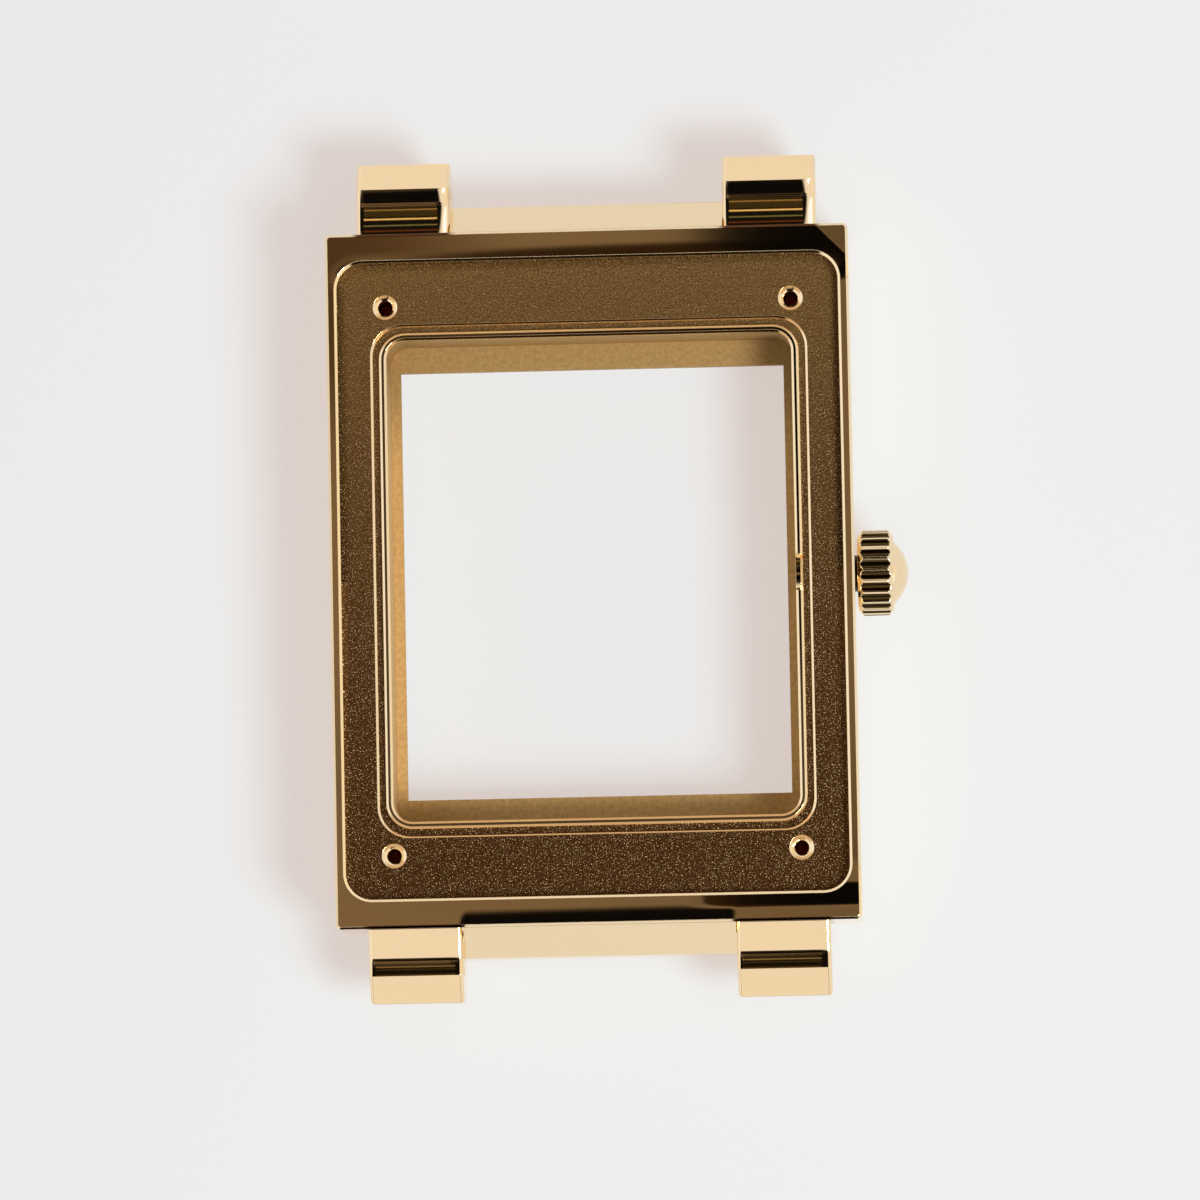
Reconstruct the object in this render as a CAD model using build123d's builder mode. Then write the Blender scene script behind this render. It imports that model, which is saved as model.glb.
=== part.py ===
import os

from build123d import *

# An empty rectangular wristwatch case in gold, with its back taken off, in millimetres
# +Z points out of the open back, +X towards the crown, +Y towards the six o'clock end
# The origin is the centre of the case back's screw pattern, on the seat the back lies on

# Movement pocket, which the rest of the case is built around
pocket_width = 22.26
pocket_length = 26.5
pocket_depth = 3.75
pocket_corner_radius = 1.05
ledge_side_width = 0.53
ledge_end_width = 1.4
ledge_thickness = 0.7
window_bevel = 0.1

# Rib and gasket seat round the mouth of the pocket
rib_width = 0.4
rib_height = 0.15
rib_edge_bevel = 0.13
rib_edge_bevel_depth = 0.105
rib_notch_width = 2.0
gasket_seat_width = 0.36
gasket_seat_depth = 0.2
gasket_seat_bevel = 0.13
gasket_seat_bevel_depth = 0.105
gasket_seat_corner_radius = 1.6

# Blasted recess that the case back drops into, and the polished rim round it
seat_side_width = 1.75
seat_end_width = 3.36
recess_corner_radius = 1.45
recess_bevel = 0.14
recess_bevel_depth = 0.113
rim_height = 0.7
rim_side_width = 0.46
rim_end_width = 1.46
rim_edge_bevel = 0.13
case_corner_radius = 0.3

# Tapped holes for the four screws of the case back
screw_hole_radius = 0.4
screw_hole_depth = 2.2
screw_sink_radius = 0.68
screw_sink_angle = 102
screw_side_inset = 2.62
screw_end_inset = 2.4

# Lugs, four blocks brazed to the end walls, from the strap gap to near the case's sides
strap_width = 15.0
lug_side_inset = 1.72
lug_reach = 4.04
lug_step = 0.6
lug_fall = 0.42
lug_ridge_rise = 0.12
lug_tip_bevel = 0.93
lug_end_height = 1.7
lug_edge_radius = 0.2
lug_valley_radius = 0.6
lug_ridge_radius = 0.12
lug_end_radius = 0.5
lug_valley_share = 0.42
lug_ridge_share = 0.635
lug_bulge_share = 0.15
bar_hole_radius = 0.4
bar_hole_depth = 1.6
bar_hole_bevel = 0.1
bar_reach = 2.15
bar_depth = 1.85

# Sloping hoods that close the strap gap between each pair of lugs
hood_reach = 1.64
hood_slope_drop = 2.3
hood_edge_bevel = 0.12

# Crystal and its gasket, held in the bezel and a raised collar of the case middle
crystal_overlap = 0.8
crystal_thickness = 1.4
crystal_bevel = 0.15
crystal_corner_radius = 0.35
crystal_gasket_wall = 0.3
crystal_gasket_floor = 0.15
crystal_recess = 0.2
collar_wall = 0.7
collar_height = 0.6

# Bezel and the flat gasket under it
bezel_inset = 0.4
bezel_outer_bevel = 0.7
bezel_inner_bevel = 0.18
bezel_gasket_width = 0.4
bezel_gasket_thickness = 0.35

# Crown with its tube, seal, washer, threaded post and domed cap
crown_depth = 1.9
crown_radius = 2.34
crown_length = 1.97
crown_gap = 0.14
crown_travel = 0.8
crown_edge_bevel = 0.3
flute_count = 22
flute_radius = 0.34
flute_sink = 0.16
cap_radius = 1.72
cap_height = 0.8
cap_seat_depth = 0.1
tube_radius = 1.0
tube_bore_radius = 0.6
tube_inset = 0.3
tube_end_bevel = 0.08
tube_end_clearance = 0.15
seal_wall = 0.5
seal_length = 0.42
seal_radial_clearance = 0.03
seal_end_clearance = 0.04
washer_thickness = 0.2
washer_bore_clearance = 0.08
post_clearance = 0.05
post_inset = 1.2
cavity_clearance = 0.15
stem_hole_radius = 0.375
stem_hole_depth = 2.2

# Overrun of every cut past the face that it opens
overrun = 1.0

# Heights, from the seat of the case back
rim_z = rim_height
rib_z = rib_height
ledge_z = -pocket_depth
middle_front_z = ledge_z - ledge_thickness
crystal_back_z = middle_front_z - crystal_gasket_floor
crystal_front_z = crystal_back_z - crystal_thickness
bezel_front_z = crystal_front_z - crystal_recess
crown_z = -crown_depth

# Outlines, from the pocket outwards
window_width = pocket_width - 2 * ledge_side_width
window_length = pocket_length - 2 * ledge_end_width
rib_outer_width = pocket_width + 2 * rib_width
rib_outer_length = pocket_length + 2 * rib_width
gasket_outer_width = rib_outer_width + 2 * gasket_seat_width
gasket_outer_length = rib_outer_length + 2 * gasket_seat_width
recess_width = gasket_outer_width + 2 * (gasket_seat_bevel + seat_side_width)
recess_length = gasket_outer_length + 2 * (gasket_seat_bevel + seat_end_width)
case_width = recess_width + 2 * (recess_bevel + rim_side_width)
case_length = recess_length + 2 * (recess_bevel + rim_end_width)
wall_x = case_width / 2
end_y = case_length / 2
screw_spacing_x = recess_width - 2 * screw_side_inset
screw_spacing_y = recess_length - 2 * screw_end_inset

crystal_width = window_width + 2 * crystal_overlap
crystal_length = window_length + 2 * crystal_overlap
crystal_bore_width = crystal_width + 2 * crystal_gasket_wall
crystal_bore_length = crystal_length + 2 * crystal_gasket_wall
crystal_bore_radius = crystal_corner_radius + crystal_gasket_wall
collar_width = crystal_bore_width + 2 * collar_wall
collar_length = crystal_bore_length + 2 * collar_wall
collar_radius = crystal_bore_radius + collar_wall
groove_width = collar_width + 2 * bezel_gasket_width
groove_length = collar_length + 2 * bezel_gasket_width
groove_radius = collar_radius + bezel_gasket_width
groove_z = middle_front_z - bezel_gasket_thickness


def plate(width, length, radius, start_z, end_z, mode=Mode.ADD):
    """A block or a cut with rounded corners, between two heights."""
    with BuildSketch(Plane.XY.offset(start_z)) as outline:
        RectangleRounded(width, length, radius)
    extrude(outline.sketch, amount=end_z - start_z, mode=mode)


def across_crown(x):
    """The plane across the crown's axis at a distance from the middle of the case."""
    return Plane(origin=(x, 0, crown_z), x_dir=(0, 1, 0), z_dir=(1, 0, 0))


os.makedirs("parts", exist_ok=True)

# Case middle: a block with a recess, gasket seat, ribbed pocket, window, holes and front collar
with BuildPart() as case_middle:
    plate(case_width, case_length, case_corner_radius, middle_front_z, rim_z)
    chamfer(case_middle.faces().sort_by(Axis.Z)[-1].edges(), rim_edge_bevel)
    plate(recess_width, recess_length, recess_corner_radius, rim_z + overrun, 0, Mode.SUBTRACT)
    rim_face = case_middle.faces().filter_by(Axis.Z).sort_by(Axis.Z)[-1]
    chamfer(rim_face.inner_wires().edges(), recess_bevel, recess_bevel_depth, reference=rim_face)
    plate(gasket_outer_width, gasket_outer_length, gasket_seat_corner_radius,
          overrun, -gasket_seat_depth, Mode.SUBTRACT)
    seat_face = case_middle.faces().filter_by(Axis.Z).group_by(Axis.Z)[-2][0]
    chamfer(seat_face.inner_wires().edges(), gasket_seat_bevel, gasket_seat_bevel_depth,
            reference=seat_face)
    plate(rib_outer_width, rib_outer_length, pocket_corner_radius + rib_width,
          -gasket_seat_depth, rib_z)
    plate(pocket_width, pocket_length, pocket_corner_radius, rib_z + overrun, ledge_z,
          Mode.SUBTRACT)
    rib_face = case_middle.faces().filter_by(Axis.Z).group_by(Axis.Z)[-2][0]
    chamfer(rib_face.edges(), rib_edge_bevel, rib_edge_bevel_depth, reference=rib_face)
    with BuildSketch(Plane.XY.offset(-gasket_seat_depth)):
        with Locations(((pocket_width + rib_width) / 2, 0)):
            Rectangle(rib_width + 2 * rib_edge_bevel, rib_notch_width)
    extrude(amount=gasket_seat_depth + rib_height + overrun, mode=Mode.SUBTRACT)
    with BuildSketch(Plane.XY.offset(ledge_z + overrun)):
        Rectangle(window_width, window_length)
    extrude(amount=-(ledge_thickness + 2 * overrun), mode=Mode.SUBTRACT)
    chamfer(case_middle.faces().sort_by(Axis.Z)[0].inner_wires().edges(), window_bevel)
    plate(collar_width, collar_length, collar_radius, middle_front_z,
          middle_front_z - collar_height)
    plate(crystal_bore_width, crystal_bore_length, crystal_bore_radius,
          middle_front_z - collar_height - overrun, middle_front_z, Mode.SUBTRACT)
    with GridLocations(screw_spacing_x, screw_spacing_y, 2, 2):
        CounterSinkHole(screw_hole_radius, screw_sink_radius, screw_hole_depth, screw_sink_angle)
    with BuildSketch(across_crown(pocket_width / 2 - overrun)):
        Circle(tube_radius)
    extrude(amount=(case_width - pocket_width) / 2 + 2 * overrun, mode=Mode.SUBTRACT)
case_middle.part.label = "case_middle"
export_step(case_middle.part, "parts/case_middle.step")

# Crystal gasket: an L-section frame, pressed into the collar and the bezel
with BuildPart() as crystal_gasket:
    plate(crystal_bore_width, crystal_bore_length, crystal_bore_radius,
          middle_front_z, crystal_front_z + crystal_bevel)
    plate(crystal_width, crystal_length, crystal_corner_radius,
          crystal_back_z, crystal_front_z, Mode.SUBTRACT)
    with BuildSketch(Plane.XY.offset(crystal_back_z)):
        Rectangle(crystal_width - crystal_overlap, crystal_length - crystal_overlap)
    extrude(amount=crystal_gasket_floor + overrun, mode=Mode.SUBTRACT)
crystal_gasket.part.label = "crystal_gasket"
export_step(crystal_gasket.part, "parts/crystal_gasket.step")

# Crystal: a flat sapphire plate with a bevel round its front edge
with BuildPart() as crystal:
    plate(crystal_width, crystal_length, crystal_corner_radius, crystal_back_z, crystal_front_z)
    chamfer(crystal.faces().sort_by(Axis.Z)[0].edges(), crystal_bevel)
crystal.part.label = "crystal"
export_step(crystal.part, "parts/crystal.step")

# Bezel gasket: a flat frame in the bezel's groove, round the foot of the collar
with BuildPart() as bezel_gasket:
    plate(groove_width, groove_length, groove_radius, middle_front_z, groove_z)
    plate(collar_width, collar_length, collar_radius,
          middle_front_z + overrun, groove_z - overrun, Mode.SUBTRACT)
bezel_gasket.part.label = "bezel_gasket"
export_step(bezel_gasket.part, "parts/bezel_gasket.step")

# Bezel: the front frame, pressed over the collar, with a wide bevel round its outer edge
with BuildPart() as bezel:
    with BuildSketch(Plane.XY.offset(middle_front_z)):
        Rectangle(case_width - 2 * bezel_inset, case_length - 2 * bezel_inset)
    extrude(amount=bezel_front_z - middle_front_z)
    chamfer(bezel.faces().sort_by(Axis.Z)[0].edges(), bezel_outer_bevel)
    plate(groove_width, groove_length, groove_radius,
          middle_front_z + overrun, groove_z, Mode.SUBTRACT)
    plate(collar_width, collar_length, collar_radius,
          middle_front_z, middle_front_z - collar_height, Mode.SUBTRACT)
    plate(crystal_bore_width, crystal_bore_length, crystal_bore_radius,
          middle_front_z, bezel_front_z - overrun, Mode.SUBTRACT)
    front_face = bezel.faces().filter_by(Axis.Z).sort_by(Axis.Z)[0]
    chamfer(front_face.inner_wires().edges(), bezel_inner_bevel)
bezel.part.label = "bezel"
export_step(bezel.part, "parts/bezel.step")

# Lug: side profile from the back end of the root, round the tip to the front end of the root
gap_x = strap_width / 2
lug_width = wall_x - lug_side_inset - gap_x
lug_top_z = rim_z - lug_step
lug_valley_z = lug_top_z - lug_fall
lug_ridge_z = lug_valley_z + lug_ridge_rise
lug_tip_z = lug_ridge_z - lug_tip_bevel
lug_end_z = lug_tip_z - lug_end_height
valley_y = end_y + lug_reach * lug_valley_share
ridge_y = end_y + lug_reach * lug_ridge_share
tip_y = end_y + lug_reach
bulge_y = end_y + lug_reach / 2 + lug_bulge_share * (lug_end_z - middle_front_z)
bulge_z = (lug_end_z + middle_front_z) / 2 - lug_bulge_share * lug_reach
with BuildPart() as lug_six_crown_side:
    with BuildSketch(Plane.YZ.offset(gap_x)) as profile:
        with BuildLine():
            Polyline((end_y, middle_front_z), (end_y, lug_top_z), (valley_y, lug_valley_z),
                     (ridge_y, lug_ridge_z), (tip_y, lug_tip_z), (tip_y, lug_end_z))
            ThreePointArc((tip_y, lug_end_z), (bulge_y, bulge_z), (end_y, middle_front_z))
        make_face()
        corners = profile.vertices()
        fillet(corners.sort_by_distance((valley_y, lug_valley_z))[0], lug_valley_radius)
        fillet(corners.sort_by_distance((ridge_y, lug_ridge_z))[0], lug_ridge_radius)
        fillet(corners.sort_by_distance((tip_y, lug_tip_z))[0], lug_ridge_radius)
        fillet(corners.sort_by_distance((tip_y, lug_end_z))[0], lug_end_radius)
    extrude(amount=lug_width)
    side_edges = lug_six_crown_side.faces().filter_by(Axis.X).edges()
    fillet(side_edges - side_edges.group_by(Axis.Y)[0], lug_edge_radius)
    with BuildSketch(Plane.YZ.offset(gap_x - overrun)):
        with Locations((end_y + bar_reach, rim_z - bar_depth)):
            Circle(bar_hole_radius)
    extrude(amount=bar_hole_depth + overrun, mode=Mode.SUBTRACT)
    gap_face = lug_six_crown_side.faces().sort_by(Axis.X)[0]
    chamfer(gap_face.inner_wires().edges(), bar_hole_bevel)
lug_six_crown_side.part.label = "lug_six_crown_side"
export_step(lug_six_crown_side.part, "parts/lug_six_crown_side.step")

# The other three lugs, which mirror the first one across the case's two middle planes
with BuildPart() as lug_six_far_side:
    mirror(lug_six_crown_side.part, about=Plane.YZ)
lug_six_far_side.part.label = "lug_six_far_side"
export_step(lug_six_far_side.part, "parts/lug_six_far_side.step")

with BuildPart() as lug_twelve_crown_side:
    mirror(lug_six_crown_side.part, about=Plane.XZ)
lug_twelve_crown_side.part.label = "lug_twelve_crown_side"
export_step(lug_twelve_crown_side.part, "parts/lug_twelve_crown_side.step")

with BuildPart() as lug_twelve_far_side:
    mirror(lug_six_far_side.part, about=Plane.XZ)
lug_twelve_far_side.part.label = "lug_twelve_far_side"
export_step(lug_twelve_far_side.part, "parts/lug_twelve_far_side.step")

# Hoods: a block between two lugs, sloping from the rim out towards the strap, and its mirror
hood_y = end_y + hood_reach
with BuildPart() as strap_hood_six:
    with BuildSketch(Plane.YZ.offset(-gap_x)):
        with BuildLine():
            Polyline((end_y, rim_z - rim_edge_bevel), (hood_y, rim_z - hood_slope_drop),
                     (hood_y, middle_front_z), (end_y, middle_front_z), close=True)
        make_face()
    extrude(amount=strap_width)
    chamfer(strap_hood_six.edges().filter_by(Axis.X).group_by(Axis.Y)[-1], hood_edge_bevel)
strap_hood_six.part.label = "strap_hood_six"
export_step(strap_hood_six.part, "parts/strap_hood_six.step")

with BuildPart() as strap_hood_twelve:
    mirror(strap_hood_six.part, about=Plane.XZ)
strap_hood_twelve.part.label = "strap_hood_twelve"
export_step(strap_hood_twelve.part, "parts/strap_hood_twelve.step")

# Places along the crown's axis, where the pulled-out crown keeps its seal on the tube
crown_face_x = wall_x + crown_gap
seal_start_x = crown_face_x + washer_thickness + seal_end_clearance
seal_end_x = seal_start_x + seal_length
step_x = seal_end_x + seal_end_clearance
tube_start_x = pocket_width / 2 + tube_inset
tube_end_x = seal_end_x + crown_travel + tube_end_bevel
cavity_end_x = tube_end_x + tube_end_clearance
shell_end_x = crown_face_x + crown_length
cap_seat_x = shell_end_x - cap_seat_depth
cap_end_x = shell_end_x + cap_height
post_start_x = pocket_width / 2 + post_inset
cavity_radius = tube_radius + seal_wall
post_radius = tube_bore_radius - post_clearance
crown_axis = Axis((0, 0, crown_z), (1, 0, 0))

# Crown tube: a sleeve pressed into the wall, standing out for the crown to slide on
with BuildPart() as crown_tube:
    with BuildSketch(across_crown(tube_start_x)):
        Circle(tube_radius)
        Circle(tube_bore_radius, mode=Mode.SUBTRACT)
    extrude(amount=tube_end_x - tube_start_x)
    chamfer(crown_tube.faces().sort_by(Axis.X)[-1].edges(), tube_end_bevel)
crown_tube.part.label = "crown_tube"
export_step(crown_tube.part, "parts/crown_tube.step")

# Crown shell: fluted round its edge, with a stepped cavity for the seal and the tube
with BuildPart() as crown_shell:
    with BuildSketch(across_crown(crown_face_x)):
        Circle(crown_radius)
    extrude(amount=crown_length)
    chamfer(crown_shell.edges(), crown_edge_bevel)
    with BuildPart(mode=Mode.PRIVATE) as flute:
        with BuildSketch(across_crown(crown_face_x - overrun)):
            with Locations((0, crown_radius + flute_radius - flute_sink)):
                Circle(flute_radius)
        extrude(amount=crown_length + 2 * overrun)
    add([flute.part.rotate(crown_axis, (turn + 0.5) * 360 / flute_count)
         for turn in range(flute_count)], mode=Mode.SUBTRACT)
    for radius, start_x, end_x in ((cavity_radius, crown_face_x - overrun, step_x),
                                   (tube_radius + cavity_clearance, crown_face_x, cavity_end_x),
                                   (post_radius, crown_face_x, shell_end_x + overrun),
                                   (cap_radius, cap_seat_x, shell_end_x + overrun)):
        with BuildSketch(across_crown(start_x)):
            Circle(radius)
        extrude(amount=end_x - start_x, mode=Mode.SUBTRACT)
crown_shell.part.label = "crown_shell"
export_step(crown_shell.part, "parts/crown_shell.step")

# Crown cap: a domed button set into the end of the shell
cap_edge_z = crown_z + cap_radius
dome_radius = (cap_radius ** 2 + cap_height ** 2) / (2 * cap_height)
with BuildPart() as crown_cap:
    with BuildSketch(Plane.XZ):
        with BuildLine():
            Polyline((cap_end_x, crown_z), (cap_seat_x, crown_z), (cap_seat_x, cap_edge_z),
                     (shell_end_x, cap_edge_z))
            RadiusArc((shell_end_x, cap_edge_z), (cap_end_x, crown_z), dome_radius)
        make_face()
    revolve(axis=crown_axis)
crown_cap.part.label = "crown_cap"
export_step(crown_cap.part, "parts/crown_cap.step")

# Crown post: fixed in the shell, running in the tube, tapped for the winding stem
with BuildPart() as crown_post:
    with BuildSketch(across_crown(post_start_x)):
        Circle(post_radius)
    extrude(amount=cap_seat_x - post_start_x)
    with BuildSketch(across_crown(post_start_x - overrun)):
        Circle(stem_hole_radius)
    extrude(amount=stem_hole_depth + overrun, mode=Mode.SUBTRACT)
crown_post.part.label = "crown_post"
export_step(crown_post.part, "parts/crown_post.step")

# Crown washer: pressed into the mouth of the shell to keep the seal in
with BuildPart() as crown_washer:
    with BuildSketch(across_crown(crown_face_x)):
        Circle(cavity_radius)
        Circle(tube_radius + washer_bore_clearance, mode=Mode.SUBTRACT)
    extrude(amount=washer_thickness)
crown_washer.part.label = "crown_washer"
export_step(crown_washer.part, "parts/crown_washer.step")

# Crown seal: a ring that slides on the tube inside the shell
with BuildPart() as crown_seal:
    with BuildSketch(across_crown(seal_start_x)):
        Circle(cavity_radius - seal_radial_clearance)
        Circle(tube_radius + seal_radial_clearance, mode=Mode.SUBTRACT)
    extrude(amount=seal_length)
crown_seal.part.label = "crown_seal"
export_step(crown_seal.part, "parts/crown_seal.step")
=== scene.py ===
import math

import bpy
import numpy as np
from mathutils import Matrix, Vector


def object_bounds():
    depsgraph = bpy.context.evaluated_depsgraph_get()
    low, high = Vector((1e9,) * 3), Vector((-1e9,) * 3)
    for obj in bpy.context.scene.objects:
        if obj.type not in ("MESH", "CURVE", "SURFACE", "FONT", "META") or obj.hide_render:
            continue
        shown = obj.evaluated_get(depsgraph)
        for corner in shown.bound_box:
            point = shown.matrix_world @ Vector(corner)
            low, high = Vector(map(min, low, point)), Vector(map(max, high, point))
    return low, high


# An empty gold watch case, lying face down on a white table, seen from its open back
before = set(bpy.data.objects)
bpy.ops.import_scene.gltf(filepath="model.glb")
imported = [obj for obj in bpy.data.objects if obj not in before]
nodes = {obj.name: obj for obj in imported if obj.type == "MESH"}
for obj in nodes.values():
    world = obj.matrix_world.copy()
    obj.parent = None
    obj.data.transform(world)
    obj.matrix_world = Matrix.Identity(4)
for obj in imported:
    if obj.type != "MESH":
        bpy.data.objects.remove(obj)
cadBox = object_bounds()
mm = 0.001  # metres in a millimetre
smooth = {"interpolation_type": "SMOOTHSTEP"}  # for a Map Range that eases in and out
print("frame loaded:", len(nodes), "nodes")


def toLinear(hexText):
    parts = [int(hexText[i:i + 2], 16) / 255 for i in (1, 3, 5)]
    return [p / 12.92 if p <= 0.04045 else ((p + 0.055) / 1.055) ** 2.4 for p in parts] + [1.0]


def addNode(tree, kind, inputs=(), **settings):
    # An input is a constant, a socket, or a node, which stands for its first output
    node = tree.nodes.new("ShaderNode" + kind)
    for key, value in settings.items():
        setattr(node, key, value)
    for key, value in (inputs.items() if isinstance(inputs, dict) else enumerate(inputs)):
        if isinstance(value, bpy.types.Node):
            value = value.outputs[0]
        if isinstance(value, bpy.types.NodeSocket):
            tree.links.new(value, node.inputs[key])
        else:
            node.inputs[key].default_value = value
    return node


def inMillimetres(tree):
    # The frame is in metres, and every pattern here in millimetres
    place = addNode(tree, "TexCoord").outputs["Object"]
    return addNode(tree, "VectorMath", {0: place, "Scale": 1 / mm}, operation="SCALE")


def newMaterial(name):
    material = bpy.data.materials.new(name)
    material.use_nodes = True
    material.node_tree.nodes.clear()
    return material, material.node_tree


def stageMaterial(name):
    # Its glow only shows, and isn't searched as a lamp
    material, tree = newMaterial(name)
    material.cycles.emission_sampling = "NONE"
    return material, tree


def finish(tree, shader):
    addNode(tree, "OutputMaterial", {"Surface": shader})


# Camera: a long lens nearly straight above the open back, slightly towards the crown and twelve
cameraSet = {"azimuth": 27.8, "elevation": 84.31, "roll": -1.08, "distance": 0.5,
             "pixelsPerMm": 18.251, "originPixel": (592.6, 576.5), "frameSize": 1200,
             "sensor": 36.0, "clip": (0.01, 10.0)}


def makeCamera(s):
    azimuth, elevation, roll = (math.radians(s[k]) for k in ("azimuth", "elevation", "roll"))
    level = math.cos(elevation)
    back = Vector((math.sin(azimuth) * level, -math.cos(azimuth) * level, math.sin(elevation)))
    side = (-back).cross(Vector((0, 1, 0))).normalized()
    up = side.cross(-back)
    right = math.cos(roll) * side + math.sin(roll) * up
    up = math.cos(roll) * up - math.sin(roll) * side
    data = bpy.data.cameras.new("photoCamera")
    data.sensor_width = s["sensor"]
    data.lens = s["pixelsPerMm"] * s["distance"] / mm / s["frameSize"] * s["sensor"]
    data.shift_x = 0.5 - s["originPixel"][0] / s["frameSize"]
    data.shift_y = s["originPixel"][1] / s["frameSize"] - 0.5
    data.clip_start, data.clip_end = s["clip"]
    camera = bpy.data.objects.new("photoCamera", data)
    bpy.context.scene.collection.objects.link(camera)
    turn = Matrix((right, up, back)).transposed().to_4x4()
    camera.matrix_world = Matrix.Translation(back * s["distance"]) @ turn
    bpy.context.scene.camera = camera


makeCamera(cameraSet)
print("camera made")


def addSquare(name, half, z):
    mesh = bpy.data.meshes.new(name)
    mesh.from_pydata([(-half, -half, z), (half, -half, z), (half, half, z), (-half, half, z)], [],
                     [(0, 1, 2, 3)])
    square = bpy.data.objects.new(name, mesh)
    bpy.context.scene.collection.objects.link(square)
    return square


def insideOf(tree, place, middle, reach, edge):
    # One inside an ellipse and nought outside it, with a soft edge
    away = addNode(tree, "VectorMath", (place, middle), operation="SUBTRACT")
    share = addNode(tree, "VectorMath", (away, reach), operation="DIVIDE")
    length = addNode(tree, "VectorMath", (share,), operation="LENGTH").outputs["Value"]
    return addNode(tree, "MapRange", (length, edge[1], edge[0]), **smooth)


# Matt white table: its own pinkish light shows in the watch's shadows, and the lamp's bluish
# share makes up the white
tableSet = {"hex": "#BDE2EE", "shadowHex": "#FEEAE2", "size": 3.0, "gapMm": 0.02, "glow": 0.64}


def makeTable(s):
    table = addSquare("table", s["size"] / 2, cadBox[0].z - s["gapMm"] * mm)
    material, tree = stageMaterial("mattWhiteTable")
    matt = addNode(tree, "BsdfDiffuse", {"Color": toLinear(s["hex"])})
    glow = addNode(tree, "Emission", {"Color": toLinear(s["shadowHex"])})
    ray = addNode(tree, "LightPath").outputs
    seen = addNode(tree, "Math", (ray["Is Camera Ray"], ray["Is Glossy Ray"]),
                   operation="MAXIMUM")
    seen = addNode(tree, "Math", (seen, ray["Is Transmission Ray"]), operation="MAXIMUM")
    share = addNode(tree, "Math", (seen, s["glow"]), operation="MULTIPLY")
    above = addNode(tree, "MixShader", (share, matt, glow))
    # Seen from below it is clear, so that the front of the watch can be looked at
    below = addNode(tree, "NewGeometry").outputs["Backfacing"]
    clear = addNode(tree, "BsdfTransparent")
    finish(tree, addNode(tree, "MixShader", (below, above, clear)))
    table.data.materials.append(material)


# One soft lamp, from the crown's side
lampSet = {"place": (0.36, -0.26, 0.55), "size": 0.25, "power": 5.2, "hex": "#FFFFFF"}


def makeLamp(s):
    data = bpy.data.lights.new("softLamp", "AREA")
    data.shape, data.size, data.energy = "SQUARE", s["size"], s["power"]
    data.color = toLinear(s["hex"])[:3]
    lamp = bpy.data.objects.new("softLamp", data)
    bpy.context.scene.collection.objects.link(lamp)
    place = Vector(s["place"])
    turn = place.to_track_quat("Z", "Y").to_matrix().to_4x4()
    lamp.matrix_world = Matrix.Translation(place) @ turn


# What hangs over the watch and shows only in its polished faces; middles and reaches in mm
cardSet = {"height": 0.52, "half": 0.30, "patches": [
    {"middle": (-65, 52), "reach": (150, 78), "edge": (0.60, 1.15), "hex": "#7E694F"},
    {"middle": (-20, 24), "reach": (60, 20), "edge": (0.30, 1.00), "hex": "#71604A"},
    {"middle": (-58, 80), "reach": (30, 26), "edge": (0.30, 1.00), "hex": "#4D3825"},
    {"middle": (5, -52), "reach": (100, 58), "edge": (0.72, 1.08), "hex": "#0C0A09"},
    {"middle": (-14, 55), "reach": (36, 26), "edge": (0.72, 1.05), "hex": "#2E1E0E"},
    {"middle": (10, 84), "reach": (23, 44), "edge": (0.80, 1.08), "hex": "#060504"},
]}


def makeCard(s):
    card = addSquare("cardOverhead", s["half"], s["height"])
    card.visible_camera = card.visible_diffuse = card.visible_shadow = False
    card.visible_transmission = False
    material, tree = stageMaterial("darkThingsOverhead")
    flat = addNode(tree, "VectorMath", (inMillimetres(tree), (1, 1, 0)), operation="MULTIPLY")
    color, cover = toLinear(s["patches"][0]["hex"]), 0.0
    for patch in s["patches"]:
        inside = insideOf(tree, flat, (*patch["middle"], 0), (*patch["reach"], 1), patch["edge"])
        color = addNode(tree, "Mix", {"Factor": inside, "A": color, "B": toLinear(patch["hex"])},
                        data_type="RGBA").outputs["Result"]
        cover = addNode(tree, "Math", (cover, inside), operation="MAXIMUM")
    clear = addNode(tree, "BsdfTransparent")
    glow = addNode(tree, "Emission", {"Color": color})
    finish(tree, addNode(tree, "MixShader", (cover, clear, glow)))
    card.data.materials.append(material)


# Room: pale walls, a window, a dark ceiling, a dark front and a warm glow on the lamp's side. Its
# places are parts of a direction whose length is one
roomSet = {"acrossHex": "#FFFFFF", "wallHex": "#F6F0E8", "wallWay": (-0.9, 0.0),
           "fillHex": "#F4EFEB", "fillStrength": 0.45, "backgroundHex": "#F0F0EF",
           "frontHex": "#1E1A14", "frontWay": (-0.5, -0.75), "frontTop": (0.445, 0.40),
           "frontSide": (0.50, 0.30),
           "glowHex": "#FFF6E0", "glowWay": (0.5, 0.8), "glowTop": (0.52, 0.40),
           "windowHex": "#D8E6FF", "windowStrength": 1.6, "windowWay": (0.56, 0.56, 0.56),
           "windowReach": (0.22, 0.30, 0.25), "windowEdge": (0.80, 1.10),
           "ceilingHex": "#14110E", "ceilingMiddle": (-0.04, 0.27, 0.0),
           "ceilingReach": (0.44, 0.60, 1.0), "ceilingEdge": (0.82, 1.08),
           "lineCore": 0.6, "lineEnd": (1.1, 0.9)}
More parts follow.
